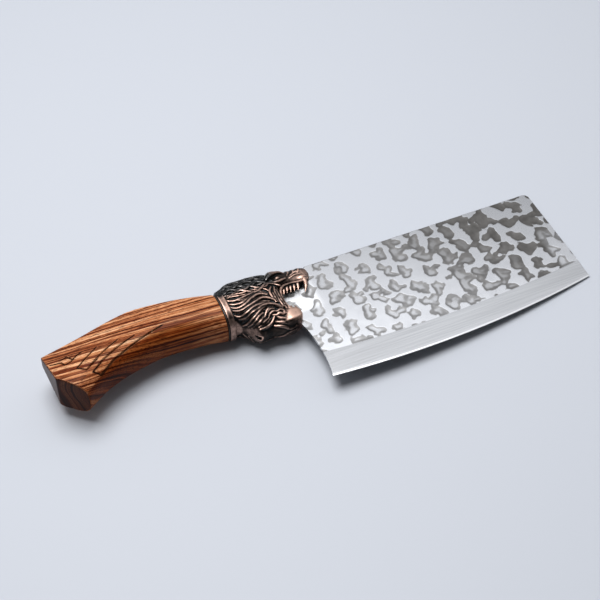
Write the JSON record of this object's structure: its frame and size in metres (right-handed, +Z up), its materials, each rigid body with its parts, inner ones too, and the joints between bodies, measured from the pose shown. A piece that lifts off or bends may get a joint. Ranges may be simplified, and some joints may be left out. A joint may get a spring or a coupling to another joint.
{
  "type": "butcher cleaver",
  "caption": "Cleaver lying on its side: broad hammered steel blade with a bellied edge, cast beast-head bolster and faceted hardwood handle, for chopping meat and vegetables.",
  "frame": {"origin": "middle of the knife's footprint, on the surface it lies on", "axes": "+X along the knife towards the toe, +Y towards the spine, +Z up out of the blade's side"},
  "size_m": [0.3346, 0.096, 0.0351],
  "materials": {
    "blade_steel": "hammered sides with dull recesses in a polished ground, satin ground bevel",
    "antique_copper": "cast, blackened in the recesses and rubbed bright on the high points",
    "rosewood": "straight dark grain, oiled and polished, carved lines on the side facets",
    "resin": "black-brown cured epoxy",
    "pin_steel": "darkened"
  },
  "bodies": {
    "root": {"blade": "blade_steel", "bolster": "antique_copper", "handle": "rosewood", "tang_resin": "resin", "bolster_pin": "pin_steel"}
  },
  "joints": []
}
